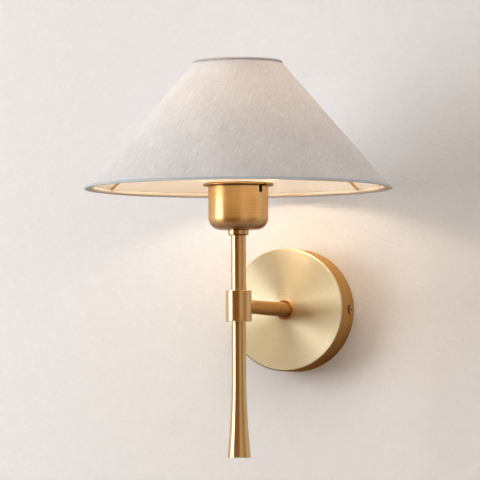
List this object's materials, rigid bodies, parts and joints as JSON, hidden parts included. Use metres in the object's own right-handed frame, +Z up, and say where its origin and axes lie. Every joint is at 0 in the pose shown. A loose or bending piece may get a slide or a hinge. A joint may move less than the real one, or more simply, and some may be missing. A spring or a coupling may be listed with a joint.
{
  "type": "fabric shade wall light",
  "caption": "Wall light with a straight-sided cone shade of fabric over a brass cup, on an upright with a flared foot, held off a round wall plate by a level arm.",
  "frame": {"origin": "on the wall plane, on the arm's axis, at the centre of the two slots for the wall-box screws", "axes": "+Z up along the upright, +Y into the wall, +X to the right of someone facing the light"},
  "size_m": [0.2796, 0.2858, 0.3592],
  "materials": {
    "satin_brass": "satin, brushed round each turned piece, with a warm aged tone",
    "antique_screw": "darkened brass",
    "plain_brass": "plain machined brass",
    "zinc_steel": "zinc-plated pressed steel",
    "green_screw": "green passivated steel, as an earthing screw has",
    "black_phenolic": "moulded phenolic, slightly glossy",
    "white_ceramic": "glazed ceramic",
    "nickel": "nickel-plated",
    "black_glass": "black vitrified insulator",
    "white_plastic": "moulded white plastic",
    "opal_glass": "opal diffuser",
    "opal_plastic": "heat-resistant opal plastic that the bulb shines through",
    "taped_wire": "steel wire bound in off-white cotton tape",
    "brassed_wire": "brass-plated steel wire",
    "linen": "pale grey-white linen in a plain weave",
    "shade_lining": "warm white laminate, lit from inside",
    "linen_binding": "folded linen strip"
  },
  "bodies": {
    "fixture": {"canopy": "satin_brass", "arm": "satin_brass", "arm_ring": "satin_brass", "hub": "satin_brass", "upper_stem": "satin_brass", "lower_stem": "satin_brass", "neck_collar": "satin_brass", "lamp_cup": "satin_brass", "cup_flange": "satin_brass", "side_screws": "antique_screw", "mounting_strap": "zinc_steel", "earth_screw": "green_screw", "arm_nipple": "plain_brass", "arm_lock_washer": "zinc_steel", "arm_nut": "plain_brass", "stem_nipple": "plain_brass", "cup_nipple": "plain_brass", "cup_nut": "plain_brass", "lampholder_cap": "black_phenolic", "lampholder_sleeve": "black_phenolic", "lampholder_insert": "white_ceramic", "lampholder_contact": "plain_brass", "lampholder_shell": "plain_brass"},
    "shade": {"carrier_dish": "opal_plastic", "spoke_1": "brassed_wire", "spoke_2": "brassed_wire", "spoke_3": "brassed_wire", "bottom_ring_wire": "taped_wire", "top_ring_wire": "taped_wire", "shade_fabric": "linen", "shade_lining": "shade_lining", "bottom_binding": "linen_binding", "top_binding": "linen_binding"},
    "shade_ring": {"retaining_ring": "black_phenolic"},
    "bulb": {"bulb_tip": "nickel", "bulb_insulator": "black_glass", "bulb_cap": "nickel", "bulb_housing": "white_plastic", "bulb_globe": "opal_glass"}
  },
  "joints": [
    {"name": "shade_turn", "type": "hinge", "parent": "fixture", "child": "shade", "pos_m": [0, -0.146, 0.1106], "axis": [0, 0, 1], "continuous": true},
    {"name": "ring_unscrew", "type": "hinge", "parent": "fixture", "child": "shade_ring", "pos_m": [0, -0.146, 0.1116], "axis": [0, 0, 1], "continuous": true},
    {"name": "bulb_unscrew", "type": "slide", "parent": "fixture", "child": "bulb", "axis": [0, 0, 1], "range_m": [0, 0.02]}
  ]
}
